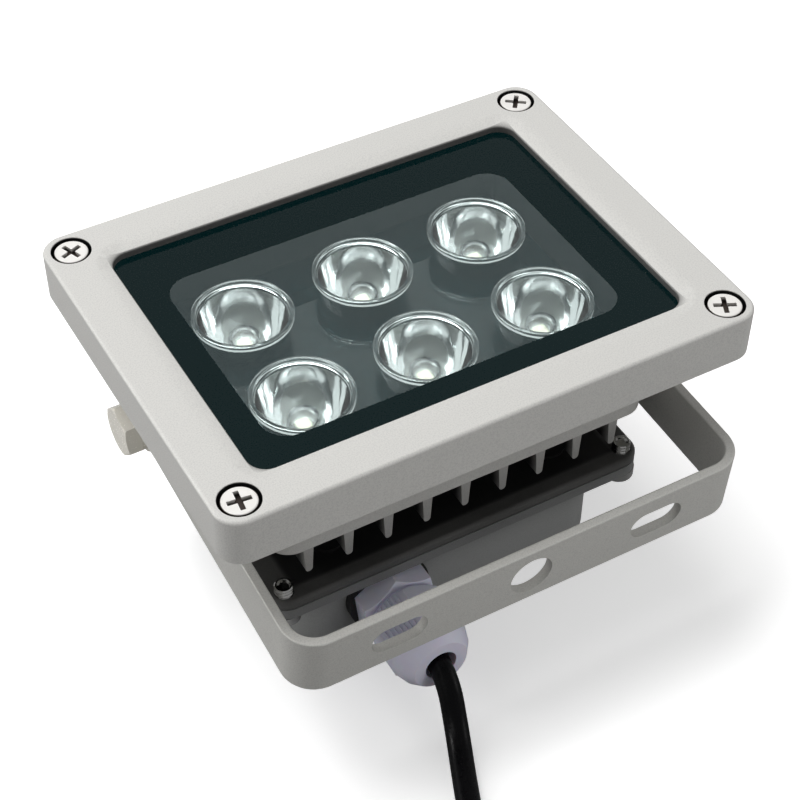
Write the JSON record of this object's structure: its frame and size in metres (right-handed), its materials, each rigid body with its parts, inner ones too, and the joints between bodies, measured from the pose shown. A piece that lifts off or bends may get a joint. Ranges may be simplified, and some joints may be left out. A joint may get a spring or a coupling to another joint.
{
  "type": "infrared illuminator",
  "caption": "Die-cast infrared lamp with lenses behind a framed glass window, cooling fins, a gasketed driver box, a cable gland and a tilting U bracket.",
  "frame": {"origin": "centre of the driver box's flat back face", "axes": "+Z out of the glass, +X along the long side of the bezel, -Y towards the bracket's crosspiece and the cable gland"},
  "size_m": [0.1579, 0.1789, 0.07],
  "materials": {
    "light_paint": "satin warm light grey paint on die-cast aluminium",
    "bracket_paint": "satin warm light grey paint on steel strip",
    "stainless": "bright stainless steel",
    "dark_steel": "dark zinc plated steel",
    "plated_steel": "bright zinc plated steel",
    "clear_glass": "polished toughened glass",
    "black_print": "matt black print",
    "silicone": "matt dark silicone",
    "lens_acrylic": "clear moulded lens",
    "led_ceramic": "light ceramic with a clear dome",
    "board_white": "white coated light board",
    "dark_gloss": "glossy dark plate",
    "board_green": "green circuit board",
    "component_black": "matt black components",
    "gland_nylon": "pale blue-grey nylon",
    "black_rubber": "matt black rubber",
    "cable_jacket": "satin black jacket",
    "connector_plastic": "satin black moulded plug",
    "lead_red": "red wire insulation",
    "lead_black": "black wire insulation"
  },
  "bodies": {
    "housing": {"front_bezel": "light_paint", "rear_housing": "light_paint", "rear_cover": "light_paint", "bezel_screw_1": "stainless", "bezel_screw_2": "stainless", "bezel_screw_3": "stainless", "bezel_screw_4": "stainless", "board_screw_1": "stainless", "board_screw_2": "stainless", "board_screw_3": "stainless", "board_screw_4": "stainless", "driver_screw_1": "stainless", "driver_screw_2": "stainless", "cover_screw_1": "dark_steel", "cover_screw_2": "dark_steel", "cover_screw_3": "dark_steel", "cover_screw_4": "dark_steel", "pivot_bolt_left": "plated_steel", "pivot_bolt_right": "plated_steel", "flat_washer_left": "plated_steel", "flat_washer_right": "plated_steel", "spring_washer_left": "plated_steel", "spring_washer_right": "plated_steel", "front_glass": "clear_glass", "printed_border": "black_print", "glass_gasket": "silicone", "box_gasket": "silicone", "lens_1": "lens_acrylic", "lens_2": "lens_acrylic", "lens_3": "lens_acrylic", "lens_4": "lens_acrylic", "lens_5": "lens_acrylic", "lens_6": "lens_acrylic", "led_emitter_1": "led_ceramic", "led_emitter_2": "led_ceramic", "led_emitter_3": "led_ceramic", "led_emitter_4": "led_ceramic", "led_emitter_5": "led_ceramic", "led_emitter_6": "led_ceramic", "led_board": "board_white", "lens_plate": "dark_gloss", "driver_board": "board_green", "driver_choke": "component_black", "driver_capacitor": "component_black", "driver_chip": "component_black", "gland_body": "gland_nylon", "gland_cap_nut": "gland_nylon", "gland_lock_nut": "gland_nylon", "gland_washer": "black_rubber", "gland_seal": "black_rubber", "cable_entry": "cable_jacket", "cable": "cable_jacket", "cable_coil": "cable_jacket", "cable_tail": "cable_jacket", "dc_connector": "connector_plastic", "supply_lead_red": "lead_red", "led_lead_red": "lead_red", "supply_lead_black": "lead_black", "led_lead_black": "lead_black"},
    "bracket": {"mounting_bracket": "bracket_paint"}
  },
  "joints": [
    {"name": "bracket_tilt", "type": "hinge", "parent": "housing", "child": "bracket", "pos_m": [0, 0.0155, 0.04], "axis": [1, 0, 0], "range_deg": [-13, 8]}
  ]
}
